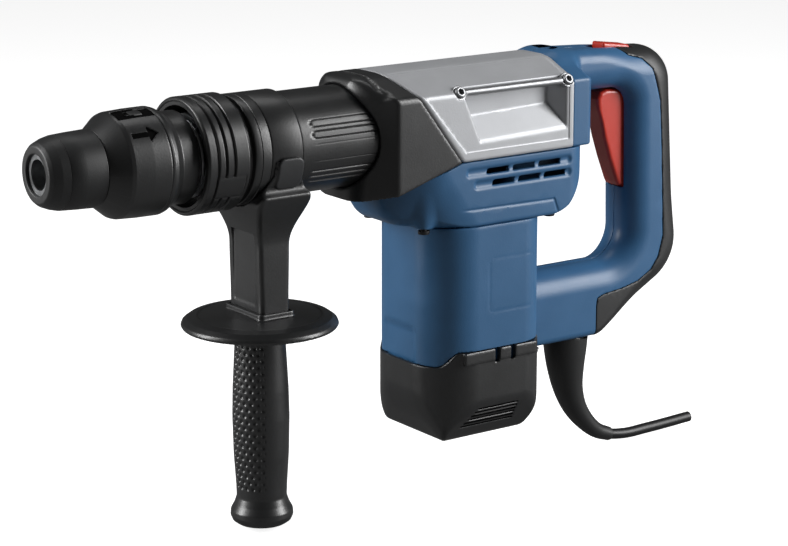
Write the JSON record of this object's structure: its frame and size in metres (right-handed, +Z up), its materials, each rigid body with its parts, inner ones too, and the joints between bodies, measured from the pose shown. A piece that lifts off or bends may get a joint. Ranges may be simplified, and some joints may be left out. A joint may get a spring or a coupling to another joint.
{
  "type": "electric demolition hammer",
  "caption": "Hand-held electric demolition hammer with locking tool holder, swivelling side handle, crank hammer drive, vertical motor and D-handle with trigger.",
  "frame": {"origin": "mouth of the tool holder's bore, on the striking axis", "axes": "the tool points to -X, the D-handle is at +X, +Z is up and the motor hangs down; the trigger and cable lie in the Y=0 plane"},
  "size_m": [0.502, 0.096, 0.2807],
  "materials": {
    "black_rubber": "satin moulded rubber",
    "cable_jacket": "smooth cable jacket",
    "black_plastic": "fine moulded texture",
    "barrel_black": "satin black coating",
    "blue_plastic": "fine moulded texture",
    "red_plastic": "smooth moulded",
    "silver_cover": "satin silver",
    "bright_rod": "polished",
    "steel": "ground steel",
    "case_alloy": "as cast",
    "bearing_bronze": "turned bronze",
    "brass_parts": "stamped brass",
    "copper": "enamelled copper",
    "laminations": "stacked sheet",
    "carbon": "pressed carbon",
    "plunger_plastic": "smooth moulded"
  },
  "bodies": {
    "housing": {"barrel": "barrel_black", "front_band": "black_plastic", "front_bush": "bearing_bronze", "hammer_tube": "steel", "gear_housing": "barrel_black", "crankcase_lid": "case_alloy", "crank_bearings": "steel", "top_cover": "silver_cover", "guard_rods": "bright_rod", "cover_screws": "bright_rod", "body_shroud": "blue_plastic", "body_screws": "steel", "motor_housing": "blue_plastic", "end_cap": "black_plastic", "stator": "laminations", "field_coils": "copper", "air_baffle": "black_plastic", "motor_bearings": "steel", "brush_holders": "brass_parts", "carbon_brushes": "carbon", "brush_springs": "steel", "handle_left": "blue_plastic", "handle_right": "blue_plastic", "handle_screws": "steel", "soft_grip": "black_rubber", "trigger_pin": "steel", "trigger_spring": "steel", "switch_module": "black_plastic", "cable_boot": "black_rubber", "power_cable": "cable_jacket"},
    "tool_holder": {"tool_holder": "steel", "dust_cap": "black_rubber", "spring_seat": "steel", "sleeve_spring": "steel"},
    "locking_sleeve": {"locking_sleeve": "black_plastic"},
    "roller_left": {"roller_left": "steel"},
    "roller_right": {"roller_right": "steel"},
    "adjusting_ring": {"adjusting_ring": "black_plastic"},
    "impact_bolt": {"impact_bolt": "steel"},
    "striker": {"striker": "steel"},
    "piston": {"piston": "steel"},
    "crank": {"crankshaft": "steel", "crank_gear": "steel"},
    "connecting_rod": {"connecting_rod": "steel", "wrist_pin": "steel"},
    "armature": {"armature_shaft": "steel", "armature_core": "laminations", "commutator": "copper", "cooling_fan": "black_plastic"},
    "side_handle": {"clamp_band": "black_plastic", "handle_post": "black_plastic", "hand_guard": "black_plastic", "clamp_bolt": "steel"},
    "side_grip": {"side_grip": "black_plastic", "grip_nut": "steel"},
    "trigger": {"trigger": "red_plastic"},
    "switch_plunger": {"switch_plunger": "plunger_plastic"},
    "lock_slider": {"lock_slider": "red_plastic"}
  },
  "joints": [
    {"name": "tool_holder_turn", "type": "hinge", "parent": "housing", "child": "tool_holder", "pos_m": [0, 0, 0], "axis": [1, 0, 0], "continuous": true},
    {"name": "sleeve_pull", "type": "slide", "parent": "tool_holder", "child": "locking_sleeve", "axis": [1, 0, 0], "range_m": [0, 0.008], "stiffness_N_per_m": 900, "springref_m": -0.006, "deforming": ["sleeve_spring"]},
    {"name": "roller_left_lift", "type": "slide", "parent": "tool_holder", "child": "roller_left", "axis": [0, -1, 0], "range_m": [0, 0.0032]},
    {"name": "roller_right_lift", "type": "slide", "parent": "tool_holder", "child": "roller_right", "axis": [0, 1, 0], "range_m": [0, 0.0032]},
    {"name": "ring_shift", "type": "slide", "parent": "tool_holder", "child": "adjusting_ring", "axis": [-1, 0, 0], "range_m": [0, 0.003]},
    {"name": "impact_bolt_slide", "type": "slide", "parent": "tool_holder", "child": "impact_bolt", "axis": [1, 0, 0], "range_m": [-0.003, 0.004]},
    {"name": "striker_slide", "type": "slide", "parent": "housing", "child": "striker", "axis": [1, 0, 0], "range_m": [-0.006, 0.008]},
    {"name": "piston_slide", "type": "slide", "parent": "housing", "child": "piston", "axis": [1, 0, 0], "range_m": [-0.016, 0]},
    {"name": "crank_turn", "type": "hinge", "parent": "housing", "child": "crank", "pos_m": [0.2605, 0, -0.02], "axis": [0, 0, 1], "continuous": true},
    {"name": "armature_turn", "type": "hinge", "parent": "housing", "child": "armature", "pos_m": [0.298, 0, -0.1], "axis": [0, 0, 1], "continuous": true},
    {"name": "rod_turn", "type": "hinge", "parent": "crank", "child": "connecting_rod", "pos_m": [0.2685, 0, 0], "axis": [0, 0, 1], "continuous": true},
    {"name": "side_handle_swivel", "type": "hinge", "parent": "housing", "child": "side_handle", "pos_m": [0.147, 0, 0], "axis": [1, 0, 0], "continuous": true},
    {"name": "grip_turn", "type": "hinge", "parent": "side_handle", "child": "side_grip", "pos_m": [0.147, 0, -0.15], "axis": [0, 0, 1], "range_deg": [0, 360]},
    {"name": "trigger_pull", "type": "hinge", "parent": "housing", "child": "trigger", "pos_m": [0.433, 0, -0.06], "axis": [0, 1, 0], "range_deg": [0, 7], "stiffness_Nm_per_rad": 2.5, "springref_deg": -17.19},
    {"name": "switch_plunger_press", "type": "slide", "parent": "housing", "child": "switch_plunger", "axis": [1, 0, 0], "range_m": [0, 0.005], "deforming": ["trigger_spring"]},
    {"name": "lock_slide", "type": "slide", "parent": "housing", "child": "lock_slider", "axis": [1, 0, 0], "range_m": [-0.006, 0]}
  ],
  "couplings": [
    {"joint": "roller_left_lift", "follows": "sleeve_pull", "ratio": 0.4},
    {"joint": "roller_right_lift", "follows": "sleeve_pull", "ratio": 0.4},
    {"joint": "armature_turn", "follows": "crank_turn", "ratio": -5},
    {"joint": "rod_turn", "follows": "crank_turn", "ratio": -1},
    {"joint": "switch_plunger_press", "follows": "trigger_pull", "m_per_rad": 0.04}
  ]
}
